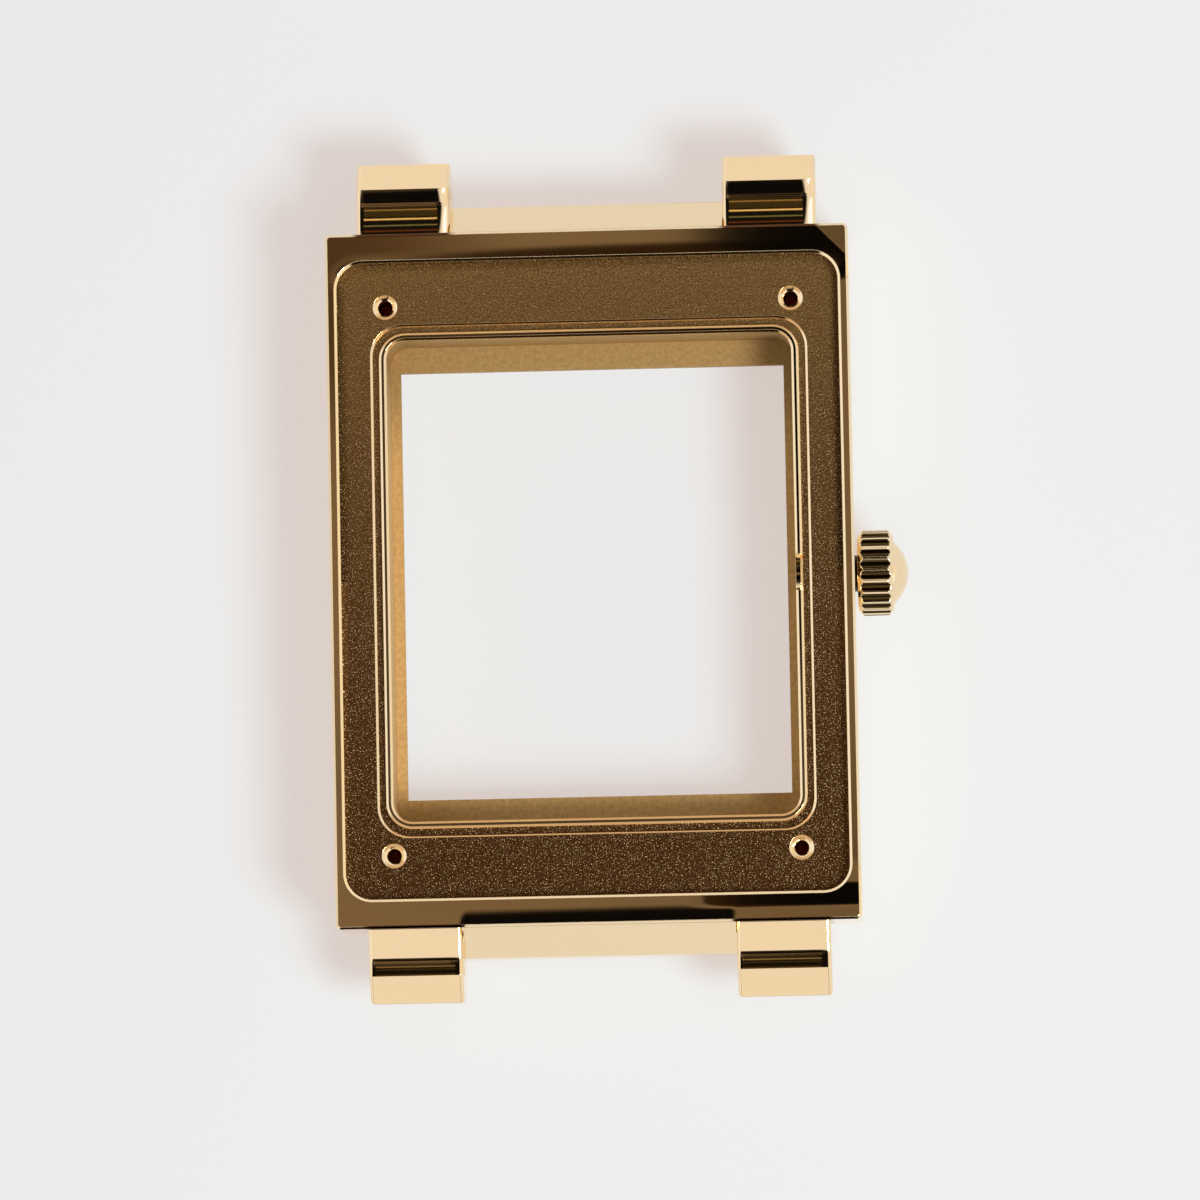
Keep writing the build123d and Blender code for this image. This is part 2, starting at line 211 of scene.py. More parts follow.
# Lit edges on the dark ceiling: place towards six o'clock, half width, reach to the sides, colour
ceilingLines = [
    {"at": -0.170, "half": 0.006, "side": 0.085, "hex": "#6A5228"},
    {"at": -0.135, "half": 0.006, "side": 0.085, "hex": "#54431F"},
    {"at": 0.262, "half": 0.008, "side": 0.10, "hex": "#3A2E14"},
    {"at": 0.300, "half": 0.005, "side": 0.09, "hex": "#A88F5C"},
    {"at": 0.330, "half": 0.004, "side": 0.09, "hex": "#54431F"},
    {"at": 0.395, "half": 0.020, "side": 0.085, "hex": "#54431F"},
    {"at": 0.440, "half": 0.012, "side": 0.085, "hex": "#9A7A45"},
    {"at": 0.490, "half": 0.050, "side": 0.085, "hex": "#3B3018"},
    {"at": 0.562, "half": 0.011, "side": 0.085, "hex": "#FFD58C"},
    {"at": 0.640, "half": 0.008, "side": 0.10, "hex": "#7E7A50"},
    {"at": 0.700, "half": 0.010, "side": 0.12, "hex": "#5E3418"},
]


def makeRoom(s, lines):
    world = bpy.data.worlds.new("studio")
    bpy.context.scene.world = world
    world.use_nodes = True
    tree = world.node_tree
    tree.nodes.clear()
    way = addNode(tree, "TexCoord").outputs["Generated"]
    split = addNode(tree, "SeparateXYZ", (way,)).outputs
    aside = addNode(tree, "Math", (split["X"],), operation="ABSOLUTE")
    layers = []  # share and colour of each, the later ones over the earlier
    # Near the table, the photographer's side is dark, and the lamp's side is warm
    for side, axis in (("front", "Y"), ("glow", "X")):
        toSide = addNode(tree, "MapRange", (split[axis], *s[side + "Way"]), **smooth)
        under = addNode(tree, "MapRange", (split["Z"], *s[side + "Top"]), **smooth)
        share = addNode(tree, "Math", (toSide, under), operation="MULTIPLY")
        if side == "front":
            within = addNode(tree, "MapRange", (aside, *s["frontSide"]), **smooth)
            share = addNode(tree, "Math", (share, within), operation="MULTIPLY")
        layers.append((share, toLinear(s[side + "Hex"])))
    window = [v * s["windowStrength"] for v in toLinear(s["windowHex"])[:3]] + [1.0]
    layers.append((insideOf(tree, way, s["windowWay"], s["windowReach"], s["windowEdge"]), window))
    flat = addNode(tree, "VectorMath", (way, (1, 1, 0)), operation="MULTIPLY")
    above = addNode(tree, "Math", (split["Z"], 0.0), operation="GREATER_THAN")
    dark = insideOf(tree, flat, s["ceilingMiddle"], s["ceilingReach"], s["ceilingEdge"])
    dark = addNode(tree, "Math", (above, dark), operation="MULTIPLY")
    layers.append((dark, toLinear(s["ceilingHex"])))
    for line in lines:
        off = addNode(tree, "Math", (split["Y"], line["at"]), operation="SUBTRACT")
        off = addNode(tree, "Math", (off,), operation="ABSOLUTE")
        width = addNode(tree, "MapRange", (off, line["half"], line["half"] * s["lineCore"]),
                        **smooth)
        length = addNode(tree, "MapRange", (aside, *(line["side"] * v for v in s["lineEnd"])),
                         **smooth)
        share = addNode(tree, "Math", (width, length), operation="MULTIPLY")
        share = addNode(tree, "Math", (share, dark), operation="MULTIPLY")
        layers.append((share, toLinear(line["hex"])))
    # The wall across from the lamp is the brightest
    toWall = addNode(tree, "MapRange", (split["X"], *s["wallWay"]), **smooth)
    room = toLinear(s["acrossHex"])
    for share, color in [(toWall, toLinear(s["wallHex"]))] + layers:
        room = addNode(tree, "Mix", {"Factor": share, "A": room, "B": color},
                       data_type="RGBA").outputs["Result"]
    # The room shows in reflections; matt surfaces get an even fill, and the camera a backdrop
    ray = addNode(tree, "LightPath").outputs
    shown = [v * s["fillStrength"] for v in toLinear(s["fillHex"])[:3]] + [1.0]
    for seen, color in ((ray["Is Glossy Ray"], room),
                        (ray["Is Camera Ray"], toLinear(s["backgroundHex"]))):
        shown = addNode(tree, "Mix", {"Factor": seen, "A": shown, "B": color},
                        data_type="RGBA").outputs["Result"]
    addNode(tree, "OutputWorld", {"Surface": addNode(tree, "Background", {"Color": shown})})


makeTable(tableSet)
makeLamp(lampSet)
makeCard(cardSet)
makeRoom(roomSet, ceilingLines)
print("studio made")

# Eighteen carat yellow gold, buffed to a mirror: pale yellow highlights and deep brown shades
polishSet = {"goldHex": "#F9E1B9", "roughness": 0.05, "edgeMm": 0.035, "edgeSamples": 6}


def softEdges(tree):
    # Buffing rounds every edge a little, which gives it a thin bright line
    return addNode(tree, "Bevel", {"Radius": polishSet["edgeMm"] * mm},
                   samples=polishSet["edgeSamples"])


def mirrorShader(tree, color, normal):
    return addNode(tree, "BsdfPrincipled",
                   {"Base Color": color, "Metallic": 1.0, "Roughness": polishSet["roughness"],
                    "Normal": normal})


def polishedGold():
    material, tree = newMaterial("mirrorPolishedYellowGold")
    finish(tree, mirrorShader(tree, toLinear(polishSet["goldHex"]), softEdges(tree)))
    return material


# The same gold on the crown, with painted dark shade between bright crests: it starts just under
# them
fluteSet = {"startMm": 0.035, "fullMm": 0.09, "shadeHex": "#4C3C20", "bevelMm": 0.3,
            "deepestMm": 0.22}


def flutedGold():
    material, tree = newMaterial("flutedYellowGold")
    shell = nodes["crown_shell"].data.vertices
    low, high = (np.array([f(v.co[i] for v in shell) for i in range(3)]) / mm for f in (min, max))
    middle, radius = (low + high) / 2, float(high[2] - low[2]) / 2
    place = inMillimetres(tree)
    away = addNode(tree, "VectorMath", (place, tuple(middle)), operation="SUBTRACT")
    away = addNode(tree, "VectorMath", (away, (0, 1, 1)), operation="MULTIPLY")
    away = addNode(tree, "VectorMath", (away,), operation="LENGTH").outputs["Value"]
    # How deep a point lies under the crown's outline, which is a cylinder with a bevel at each end
    ahead = addNode(tree, "SeparateXYZ", (place,)).outputs["X"]
    fromWall = addNode(tree, "Math", (ahead, float(low[0])), operation="SUBTRACT")
    fromDome = addNode(tree, "Math", (float(high[0]), ahead), operation="SUBTRACT")
    fromEnd = addNode(tree, "Math", (fromWall, fromDome), operation="MINIMUM")
    fromEnd = addNode(tree, "Math", (fromEnd, fluteSet["bevelMm"]), operation="MINIMUM")
    outline = addNode(tree, "Math", (fromEnd, radius - fluteSet["bevelMm"]), operation="ADD")
    depth = addNode(tree, "Math", (outline, away), operation="SUBTRACT")
    onRim = addNode(tree, "Math", (away, radius - fluteSet["deepestMm"]),
                    operation="GREATER_THAN")
    sunk = addNode(tree, "MapRange", (depth, fluteSet["startMm"], fluteSet["fullMm"]), **smooth)
    shade = addNode(tree, "Math", (onRim, sunk), operation="MULTIPLY")
    tone = addNode(tree, "Mix", {"Factor": shade, "A": toLinear(polishSet["goldHex"]),
                                 "B": toLinear(fluteSet["shadeHex"])},
                   data_type="RGBA").outputs["Result"]
    finish(tree, mirrorShader(tree, tone, softEdges(tree)))
    return material


# The same gold on the lugs: the buffing wheel hollows the slope next to the case and the ridge
# near the tip, and rolls the sides over, so their reflections bend
lugSet = {"hollowMiddleMm": 0.85, "sixBend": 0.14, "twelveBend": 0.03,
          "ridgeMiddleMm": 2.13, "ridgeHalfMm": 0.43, "ridgeBend": 0.10,
          "flatHalfMm": 1.95, "flatMiddleMm": -0.2, "sixRoll": 0.6, "twelveRoll": 0.2}


def lugGold():
    material, tree = newMaterial("buffedLugYellowGold")
    split = addNode(tree, "SeparateXYZ", (inMillimetres(tree),)).outputs
    endY = max(v.co.y for v in nodes["case_middle"].data.vertices) / mm
    lug = [abs(v.co.x) / mm for v in nodes["lug_six_crown_side"].data.vertices]
    atSix = addNode(tree, "Math", (split["Y"], 0.0), operation="GREATER_THAN")
    out = addNode(tree, "Math", (split["Y"],), operation="ABSOLUTE")
    out = addNode(tree, "Math", (out, endY), operation="SUBTRACT")
    # Height of the hollow and of the ridge: half the bend x distance squared
    along = addNode(tree, "Math", (out, 2 * lugSet["hollowMiddleMm"]), operation="MINIMUM")
    along = addNode(tree, "Math", (along, lugSet["hollowMiddleMm"]), operation="SUBTRACT")
    along = addNode(tree, "Math", (along, 2.0), operation="POWER")
    bend = addNode(tree, "MapRange",
                   (atSix, 0.0, 1.0, lugSet["twelveBend"] / 2, lugSet["sixBend"] / 2))
    hollow = addNode(tree, "Math", (along, bend), operation="MULTIPLY")
    offRidge = addNode(tree, "Math", (out, lugSet["ridgeMiddleMm"]), operation="SUBTRACT")
    offRidge = addNode(tree, "Math", (offRidge,), operation="ABSOLUTE")
    offRidge = addNode(tree, "Math", (offRidge, lugSet["ridgeHalfMm"]), operation="MINIMUM")
    offRidge = addNode(tree, "Math", (offRidge, 2.0), operation="POWER")
    ridge = addNode(tree, "Math", (offRidge, lugSet["ridgeBend"] / 2), operation="MULTIPLY")
    hollow = addNode(tree, "Math", (hollow, ridge), operation="ADD")
    # and of the rolled sides, past a flat strip that lies a little off the lug's middle
    across = addNode(tree, "Math", (split["X"],), operation="ABSOLUTE")
    across = addNode(tree, "Math", (across, (min(lug) + max(lug)) / 2), operation="SUBTRACT")
    side = addNode(tree, "Math", (split["X"],), operation="SIGN")
    across = addNode(tree, "Math", (across, side), operation="MULTIPLY")
    past = addNode(tree, "Math", (across, lugSet["flatMiddleMm"]), operation="SUBTRACT")
    past = addNode(tree, "Math", (past,), operation="ABSOLUTE")
    past = addNode(tree, "Math", (past, lugSet["flatHalfMm"]), operation="SUBTRACT")
    past = addNode(tree, "Math", (past, 0.0), operation="MAXIMUM")
    past = addNode(tree, "Math", (past, 2.0), operation="POWER")
    roll = addNode(tree, "MapRange",
                   (atSix, 0.0, 1.0, -lugSet["twelveRoll"] / 2, -lugSet["sixRoll"] / 2))
    fall = addNode(tree, "Math", (past, roll), operation="MULTIPLY")
    height = addNode(tree, "Math", (hollow, fall), operation="ADD")
    worn = addNode(tree, "Bump", {"Height": height, "Strength": 1.0, "Distance": mm,
                                  "Normal": softEdges(tree)})
    finish(tree, mirrorShader(tree, toLinear(polishSet["goldHex"]), worn))
    return material


# Case middle, in three finishes of the same gold. Which faces are level or sloping, by how much
# they face up, and where the floor, the pocket and the screw holes lie
placeSet = {"level": 0.98, "slope": (0.3, 0.95), "floorMm": (-0.3, 0.1),
            "pocketMm": (11.3, 13.4), "holesMm": (14.4, 16.0), "holesAcrossMm": 12.0}
# Polished rim: how far from its free edges the buffing wheel rolled it over, where it leaned
# over, and the dark line at the lug roots: the brazed joints, with painted shade in their creases
rimSet = {"endWidthMm": 1.05, "endTilt": 0.06, "innerWidthMm": 0.75, "innerTilt": 0.02,
          "cornerMm": (12.36, 16.09), "cornerRadiusMm": 1.57, "innerEndMm": (15.6, 17.0),
          "sideTilt": 0.035, "sideStartMm": 13.77, "gapEndMm": (7.1, 7.7),
          "mitreMm": (31.3, 31.8), "mitreTilt": 0.04, "lipMm": (18.5, 18.1),
          "lipEndMm": (16.8, 17.4), "lipStartMm": (4.5, 7.5), "lipTilt": 0.06,
          "jointMm": 0.16, "jointEndMm": (13.0, 12.5), "jointAndShadeHex": "#5E3A1E"}


def whereOnCase(tree):
    # A point's place on the case middle, in mm, and which way its face is turned
    place = inMillimetres(tree)
    split = addNode(tree, "SeparateXYZ", (place,)).outputs
    turned = addNode(tree, "SeparateXYZ", (addNode(tree, "TexCoord").outputs["Normal"],)).outputs
    steep = addNode(tree, "Math", (turned["Z"], placeSet["slope"][0]), operation="GREATER_THAN")
    tilted = addNode(tree, "Math", (turned["Z"], placeSet["slope"][1]), operation="LESS_THAN")
    # Distance from the recess's outline, a rectangle with round corners
    corner = addNode(tree, "VectorMath", (place,), operation="ABSOLUTE")
    corner = addNode(tree, "VectorMath", (corner, (*rimSet["cornerMm"], 0)), operation="SUBTRACT")
    corner = addNode(tree, "VectorMath", (corner, (1, 1, 0)), operation="MULTIPLY")
    corner = addNode(tree, "VectorMath", (corner, (0, 0, 0)), operation="MAXIMUM")
    corner = addNode(tree, "VectorMath", (corner,), operation="LENGTH").outputs["Value"]
    return {
        "place": place, "x": split["X"], "y": split["Y"], "z": split["Z"], "turnY": turned["Y"],
        "across": addNode(tree, "Math", (split["X"],), operation="ABSOLUTE"),
        "along": addNode(tree, "Math", (split["Y"],), operation="ABSOLUTE"),
        "toTwelve": addNode(tree, "Math", (split["Y"], -1.0), operation="MULTIPLY"),
        "atSix": addNode(tree, "Math", (split["Y"], 0.0), operation="GREATER_THAN"),
        "level": addNode(tree, "Math", (turned["Z"], placeSet["level"]),
                         operation="GREATER_THAN"),
        "sloping": addNode(tree, "Math", (steep, tilted), operation="MULTIPLY"),
        "fromRecess": addNode(tree, "Math", (corner, rimSet["cornerRadiusMm"]),
                              operation="SUBTRACT"),
    }


def rollOf(tree, distance, width, tilt):
    # A parabola: flat at the given width from the edge, and tilted at the edge itself
    near = addNode(tree, "Math", (distance, width), operation="DIVIDE")
    near = addNode(tree, "Math", (1.0, near), operation="SUBTRACT")
    near = addNode(tree, "Math", (near, 0.0), operation="MAXIMUM")
    near = addNode(tree, "Math", (near, 2.0), operation="POWER")
    return addNode(tree, "Math", (near, -tilt * width / 2), operation="MULTIPLY")


def rimHeight(tree, at, endY, pastGap):
    # Between the lugs, the rim rolls over towards the strap gap at twelve
    outer = addNode(tree, "Math", (endY, at["along"]), operation="SUBTRACT")
    outer = rollOf(tree, outer, rimSet["endWidthMm"], rimSet["endTilt"])
    inGap = addNode(tree, "Math", (1.0, pastGap), operation="SUBTRACT")
    outer = addNode(tree, "Math", (outer, inGap), operation="MULTIPLY")
    atTwelve = addNode(tree, "Math", (at["y"], 0.0), operation="LESS_THAN")
    outer = addNode(tree, "Math", (outer, atTwelve), operation="MULTIPLY")
    # and towards the recess at six
    inner = rollOf(tree, at["fromRecess"], rimSet["innerWidthMm"], rimSet["innerTilt"])
    nearSix = addNode(tree, "MapRange", (at["y"], *rimSet["innerEndMm"]), **smooth)
    inner = addNode(tree, "Math", (inner, nearSix), operation="MULTIPLY")
    height = addNode(tree, "Math", (outer, inner), operation="ADD")
    onEnd = addNode(tree, "Math", (at["along"], rimSet["innerEndMm"][0]),
                    operation="GREATER_THAN")
    height = addNode(tree, "Math", (height, onEnd), operation="MULTIPLY")
    # The rim on the crown's side leans out
    lean = addNode(tree, "Math", (at["x"], rimSet["sideStartMm"]), operation="SUBTRACT")
    lean = addNode(tree, "Math", (lean, 0.0), operation="MAXIMUM")
    lean = addNode(tree, "Math", (lean, -rimSet["sideTilt"]), operation="MULTIPLY")
    offEnd = addNode(tree, "MapRange", (at["along"], *reversed(rimSet["innerEndMm"])), **smooth)
    lean = addNode(tree, "Math", (lean, offEnd), operation="MULTIPLY")
    return addNode(tree, "Math", (height, lean), operation="ADD")


# Notch for the stem: its middle along the case, its half width, and where it starts and ends
notchSet = {"middleMm": 0.0, "halfMm": 1.0, "wallMm": 11.12, "lineMm": (11.40, 11.53),
            "lineSlope": 0.8, "bow": 0.3}


def stemNotch(tree, at):
    # The notch is milled into the rib and leaves a thin line of its outer bevel; this gives where
    # it is and how deep it looks
    fromStem = addNode(tree, "Math", (at["y"], notchSet["middleMm"]), operation="SUBTRACT")
    fromStem = addNode(tree, "Math", (fromStem,), operation="ABSOLUTE")
    line = addNode(tree, "Math", (at["x"], notchSet["lineMm"][0]), operation="SUBTRACT")
    line = addNode(tree, "Math", (line, notchSet["lineSlope"]), operation="MULTIPLY")
    line = addNode(tree, "Math", (line, 0.0), operation="MAXIMUM")
    bow = addNode(tree, "Math", (fromStem, 2.0), operation="POWER")
    bow = addNode(tree, "Math", (bow, notchSet["bow"] / 2), operation="MULTIPLY")
    depth = addNode(tree, "Math", (line, bow), operation="ADD")
    start = addNode(tree, "Math", (at["x"], notchSet["wallMm"]), operation="GREATER_THAN")
    end = addNode(tree, "Math", (at["x"], notchSet["lineMm"][1]), operation="LESS_THAN")
    inside = addNode(tree, "Math", (start, end), operation="MULTIPLY")
    beside = addNode(tree, "Math", (fromStem, notchSet["halfMm"]), operation="LESS_THAN")
    return addNode(tree, "Math", (inside, beside), operation="MULTIPLY"), depth


# Small polished bevels of the rib and the gasket seat, which show as thin lines, and the rib's top
bevelSet = {"lowMm": -0.13, "ribMm": 0.1, "highMm": 0.2, "lift": 0.23, "shadedLift": 0.07,
            "endTurn": (0.2, 0.4), "ribHex": "#AF9D81", "endHex": "#D8AC76"}


def rimTurn(tree, at, small):
    # Next to the crown's side the buffing wheel leaned over: at the mitre at six, and at twelve
    # along the recess
    mitre = addNode(tree, "Math", (at["x"], at["y"]), operation="ADD")
    mitre = addNode(tree, "MapRange", (mitre, *rimSet["mitreMm"], 0.0, rimSet["mitreTilt"]),
                    **smooth)
    lip = addNode(tree, "MapRange", (at["toTwelve"], *rimSet["lipMm"], 0.0, rimSet["lipTilt"]),
                  **smooth)
    toCrown = addNode(tree, "MapRange", (at["x"], *rimSet["lipStartMm"]), **smooth)
    lip = addNode(tree, "Math", (lip, toCrown), operation="MULTIPLY")
    onLip = addNode(tree, "MapRange", (at["toTwelve"], *rimSet["lipEndMm"]), **smooth)
    lip = addNode(tree, "Math", (lip, onLip), operation="MULTIPLY")
    # The small bevels on the rib and the seat are buffed flatter, least at six where they face
    # twelve
    faceTwelve = addNode(tree, "MapRange", (at["turnY"], *(-v for v in bevelSet["endTurn"])),
                         **smooth)
    shaded = addNode(tree, "Math", (at["atSix"], faceTwelve), operation="MULTIPLY")
    flatter = addNode(tree, "MapRange",
                      (shaded, 0.0, 1.0, bevelSet["lift"], bevelSet["shadedLift"]), **smooth)
    flatter = addNode(tree, "Math", (small, flatter), operation="MULTIPLY")
    turned = addNode(tree, "CombineXYZ", (mitre, lip, flatter))
    turned = addNode(tree, "VectorMath", (softEdges(tree), turned), operation="ADD")
    return addNode(tree, "VectorMath", (turned,), operation="NORMALIZE")


def rimColor(tree, at, small, jointAndShade):
    gold = toLinear(polishSet["goldHex"])
    # The top of the rib lies in the shade of the rim
    over = addNode(tree, "Math", (at["z"], bevelSet["ribMm"]), operation="GREATER_THAN")
    under = addNode(tree, "Math", (at["z"], bevelSet["highMm"]), operation="LESS_THAN")
    onRib = addNode(tree, "Math", (over, under), operation="MULTIPLY")
    onRib = addNode(tree, "Math", (onRib, at["level"]), operation="MULTIPLY")
    # At both ends the small bevels face the darker side of the room
    ends = addNode(tree, "Math", (at["turnY"],), operation="ABSOLUTE")
    ends = addNode(tree, "MapRange", (ends, *bevelSet["endTurn"]), **smooth)
    ends = addNode(tree, "Math", (small, ends), operation="MULTIPLY")
    for share, name in ((jointAndShade, rimSet["jointAndShadeHex"]), (onRib, bevelSet["ribHex"]),
                        (ends, bevelSet["endHex"])):
        gold = addNode(tree, "Mix", {"Factor": share, "A": gold, "B": toLinear(name)},
                       data_type="RGBA").outputs["Result"]
    return gold


# The same gold, blasted with fine grit: a dark, even grain with small sparkles. Real pits are
# about 0.05 mm across, and are drawn coarser because those don't show
blastSet = {"lightHex": "#FFD08C", "darkHex": "#CDA262", "roughness": 0.25, "grainMm": 0.13,
            "grainDetail": 3.0, "grainSpread": (0.25, 0.75), "depthMm": 0.010,
            "sparkMm": 0.065, "sparkSpread": (0.56, 0.80), "sparkRoughness": 0.42,
            "sparkHex": "#F6D9A8", "sparkFade": (-1.0, 1.0), "sparkSeed": 3.0,
            "fadeMm": 17.0, "fadeHex": "#988372", "shadeMm": (-0.75, -0.1), "shadeHex": "#8C8C8C"}


def blastedShader(tree, at):
    grain = addNode(tree, "TexNoise",
                    {"Vector": at["place"], "Scale": 1 / blastSet["grainMm"],
                     "Detail": blastSet["grainDetail"]})
    light = addNode(tree, "MapRange", (grain, *blastSet["grainSpread"]), **smooth)
    tone = addNode(tree, "Mix", {"Factor": light, "A": toLinear(blastSet["darkHex"]),
                                 "B": toLinear(blastSet["lightHex"])},
                   data_type="RGBA").outputs["Result"]
    # The floor reflects less light towards twelve
    dim = addNode(tree, "MapRange", (at["y"], -blastSet["fadeMm"], blastSet["fadeMm"]))
    dim = addNode(tree, "Math", (dim, 2.0), operation="POWER")
    dim = addNode(tree, "Math", (1.0, dim), operation="SUBTRACT")
    # and the wall at six keeps the light off the strip beside it
    shade = addNode(tree, "MapRange", (at["fromRecess"], *blastSet["shadeMm"]), **smooth)
    shade = addNode(tree, "Math", (shade, at["atSix"]), operation="MULTIPLY")
    for share, name in ((dim, "fadeHex"), (shade, "shadeHex")):
        tone = addNode(tree, "Mix", {"Factor": share, "A": tone, "B": toLinear(blastSet[name])},
                       data_type="RGBA", blend_type="MULTIPLY").outputs["Result"]
    # Painted glints: lighter and rougher specks, where crystals would face the lamp
    spark = addNode(tree, "TexNoise",
                    {"Vector": at["place"], "Scale": 1 / blastSet["sparkMm"], "Detail": 0.0,
                     "W": blastSet["sparkSeed"]}, noise_dimensions="4D")
    spark = addNode(tree, "MapRange", (spark, *blastSet["sparkSpread"]), **smooth)
    strength = addNode(tree, "MapRange", (dim, *blastSet["sparkFade"]), **smooth)
    spark = addNode(tree, "Math", (spark, strength), operation="MULTIPLY")
    tone = addNode(tree, "Mix", {"Factor": spark, "A": tone, "B": toLinear(blastSet["sparkHex"])},
                   data_type="RGBA").outputs["Result"]
    rough = addNode(tree, "MapRange",
                    (spark, 0.0, 1.0, blastSet["roughness"], blastSet["sparkRoughness"]))
    grit = addNode(tree, "Bump", {"Height": grain, "Strength": 1.0,
                                  "Distance": blastSet["depthMm"] * mm})
    return addNode(tree, "BsdfPrincipled", {"Base Color": tone, "Metallic": 1.0,
                                            "Roughness": rough, "Normal": grit})


# The same gold, as the cutter left it in the pocket: satin and pale. Its mottle is drawn
# 0.25 mm wide, several times the cutter's marks, which don't show
satinSet = {"lightHex": "#D6B37A", "darkHex": "#C09E66", "roughness": 0.62, "grainMm": 0.25,
            "grainDetail": 4.0, "grainRoughness": 0.7, "grainSpread": (0.3, 0.7),
            "fadeMm": (6.0, 13.0), "fadeHex": "#D0D0D0", "farMm": (-9.5, -10.5),
            "farHex": "#F3F3F3"}


def satinShader(tree, at):
    mottle = addNode(tree, "TexNoise",
                     {"Vector": at["place"], "Scale": 1 / satinSet["grainMm"],
                      "Detail": satinSet["grainDetail"], "Roughness": satinSet["grainRoughness"]})
    light = addNode(tree, "MapRange", (mottle, *satinSet["grainSpread"]), **smooth)
    tone = addNode(tree, "Mix", {"Factor": light, "A": toLinear(satinSet["darkHex"]),
                                 "B": toLinear(satinSet["lightHex"])},
                   data_type="RGBA").outputs["Result"]
    # Painted shade: the end and the side that the lamp shines straight on are made a little darker
    for axis, name in (("y", "fade"), ("x", "far")):
        paintedShade = addNode(tree, "MapRange", (at[axis], *satinSet[name + "Mm"]), **smooth)
        tone = addNode(tree, "Mix", {"Factor": paintedShade, "A": tone,
                                     "B": toLinear(satinSet[name + "Hex"])},
                       data_type="RGBA", blend_type="MULTIPLY").outputs["Result"]
    return addNode(tree, "BsdfPrincipled", {"Base Color": tone, "Metallic": 1.0,
                                            "Roughness": satinSet["roughness"]})


# Tapped holes: the threads hold the shade, so they show as dark reddish dots
threadSet = {"hex": "#7A3A1A", "roughness": 0.5}


def caseGold():
    material, tree = newMaterial("polishedBlastedAndSatinYellowGold")
    at = whereOnCase(tree)
    endY = max(v.co.y for v in nodes["case_middle"].data.vertices) / mm
    # Polished rim, rib and seat
    pastGap = addNode(tree, "MapRange", (at["across"], *rimSet["gapEndMm"]), **smooth)
    onNotch, notchDepth = stemNotch(tree, at)
    notchDepth = addNode(tree, "Math", (onNotch, notchDepth), operation="MULTIPLY")
    height = addNode(tree, "Math", (rimHeight(tree, at, endY, pastGap), notchDepth),
                     operation="SUBTRACT")
    over = addNode(tree, "Math", (at["z"], bevelSet["lowMm"]), operation="GREATER_THAN")
    under = addNode(tree, "Math", (at["z"], bevelSet["highMm"]), operation="LESS_THAN")
    small = addNode(tree, "Math", (over, under), operation="MULTIPLY")
    small = addNode(tree, "Math", (small, at["sloping"]), operation="MULTIPLY")
    rimNormal = addNode(tree, "Bump", {"Height": height, "Strength": 1.0, "Distance": mm,
                                       "Normal": rimTurn(tree, at, small)})
    # Dark line at the lug roots: the brazed joints, with painted shade in their creases
    insideLug = addNode(tree, "MapRange", (at["across"], *rimSet["jointEndMm"]), **smooth)
    jointAndShade = addNode(tree, "Math", (pastGap, insideLug), operation="MULTIPLY")
    atEnd = addNode(tree, "Math", (at["along"], endY - rimSet["jointMm"]),
                    operation="GREATER_THAN")
    jointAndShade = addNode(tree, "Math", (jointAndShade, atEnd), operation="MULTIPLY")
    mirror = mirrorShader(tree, rimColor(tree, at, small, jointAndShade), rimNormal)
    # Blasted floor of the recess and of the seat
    over = addNode(tree, "Math", (at["z"], placeSet["floorMm"][0]), operation="GREATER_THAN")
    under = addNode(tree, "Math", (at["z"], placeSet["floorMm"][1]), operation="LESS_THAN")
    blasted = addNode(tree, "Math", (under, over), operation="MULTIPLY")
    blasted = addNode(tree, "Math", (blasted, at["level"]), operation="MULTIPLY")
    offNotch = addNode(tree, "Math", (1.0, onNotch), operation="SUBTRACT")
    blasted = addNode(tree, "Math", (blasted, offNotch), operation="MULTIPLY")
    # Satin pocket, whose sloping faces are polished
    deep = addNode(tree, "Math", (at["z"], placeSet["floorMm"][0]), operation="LESS_THAN")
    side = addNode(tree, "Math", (at["across"], placeSet["pocketMm"][0]), operation="LESS_THAN")
    end = addNode(tree, "Math", (at["along"], placeSet["pocketMm"][1]), operation="LESS_THAN")
    inPocket = addNode(tree, "Math", (side, end), operation="MULTIPLY")
    notSloping = addNode(tree, "Math", (1.0, at["sloping"]), operation="SUBTRACT")
    inPocket = addNode(tree, "Math", (inPocket, notSloping), operation="MULTIPLY")
    inPocket = addNode(tree, "Math", (deep, inPocket), operation="MULTIPLY")
    # Screw holes
    threads = addNode(tree, "BsdfPrincipled", {"Base Color": toLinear(threadSet["hex"]),
                                               "Metallic": 1.0,
                                               "Roughness": threadSet["roughness"]})
    start = addNode(tree, "Math", (at["along"], placeSet["holesMm"][0]), operation="GREATER_THAN")
    end = addNode(tree, "Math", (at["along"], placeSet["holesMm"][1]), operation="LESS_THAN")
    inHole = addNode(tree, "Math", (start, end), operation="MULTIPLY")
    side = addNode(tree, "Math", (at["across"], placeSet["holesAcrossMm"]),
                   operation="LESS_THAN")
    inHole = addNode(tree, "Math", (inHole, side), operation="MULTIPLY")
    inHole = addNode(tree, "Math", (deep, inHole), operation="MULTIPLY")
    shader = mirror
    for share, other in ((blasted, blastedShader(tree, at)), (inPocket, satinShader(tree, at)),
                         (inHole, threads)):
        shader = addNode(tree, "MixShader", (share, shader, other))
    finish(tree, shader)
    return material


# Polished sapphire plate: clear, with a faint reflection. Its index is set lower than sapphire's
# 1.77, as a coating against reflections would make it look
glassSet = {"index": 1.3, "roughness": 0.0}


